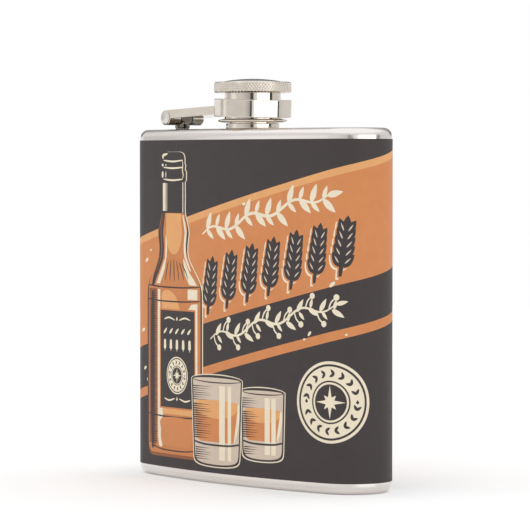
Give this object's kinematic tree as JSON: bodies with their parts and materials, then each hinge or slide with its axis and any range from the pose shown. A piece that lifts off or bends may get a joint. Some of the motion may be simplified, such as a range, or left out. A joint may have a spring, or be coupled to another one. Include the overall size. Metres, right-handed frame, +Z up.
{
  "type": "hip flask",
  "caption": "Curved stainless steel hip flask in a printed vinyl wrap, with a knurled screw cap held captive by a hinged arm.",
  "frame": {"origin": "on the base, directly under the middle of the neck", "axes": "+Z up along the neck, -Y out of the front face, the hinge lies on the -X side of the neck"},
  "size_m": [0.095, 0.0264, 0.1129],
  "materials": {
    "brushed_steel": "brushed",
    "polished_steel": "polished",
    "turned_steel": "turned",
    "vinyl": "satin printed film",
    "liner_plastic": "matte"
  },
  "bodies": {
    "flask": {"body_wall": "brushed_steel", "top_plate": "brushed_steel", "bottom_plate": "brushed_steel", "vinyl_wrap": "vinyl", "spout_neck": "polished_steel", "hinge_post": "turned_steel"},
    "pin": {"hinge_pin": "turned_steel"},
    "arm": {"cap_arm": "polished_steel"},
    "washer": {"retaining_washer": "polished_steel"},
    "cap": {"cap_stem": "polished_steel", "cap_head": "polished_steel", "cap_disc": "polished_steel", "cap_liner": "liner_plastic"}
  },
  "joints": [
    {"name": "arm_tip", "type": "hinge", "parent": "flask", "child": "pin", "pos_m": [-0.0304, 0, 0.1024], "axis": [0, -1, 0], "range_deg": [0, 4.8]},
    {"name": "arm_swing", "type": "hinge", "parent": "pin", "child": "arm", "pos_m": [-0.0304, 0, 0.1024], "axis": [0, -1, 0], "range_deg": [0, 175]},
    {"name": "cap_tilt", "type": "hinge", "parent": "arm", "child": "washer", "pos_m": [0, 0, 0.1035], "axis": [0, 1, 0], "range_deg": [0, 4.8]},
    {"name": "cap_turn", "type": "hinge", "parent": "washer", "child": "cap", "pos_m": [0, 0, 0.1035], "axis": [0, 0, 1], "range_deg": [0, 720]}
  ],
  "couplings": [
    {"joint": "arm_tip", "follows": "cap_turn", "ratio": 0.0065442},
    {"joint": "cap_tilt", "follows": "cap_turn", "ratio": 0.0065442}
  ]
}
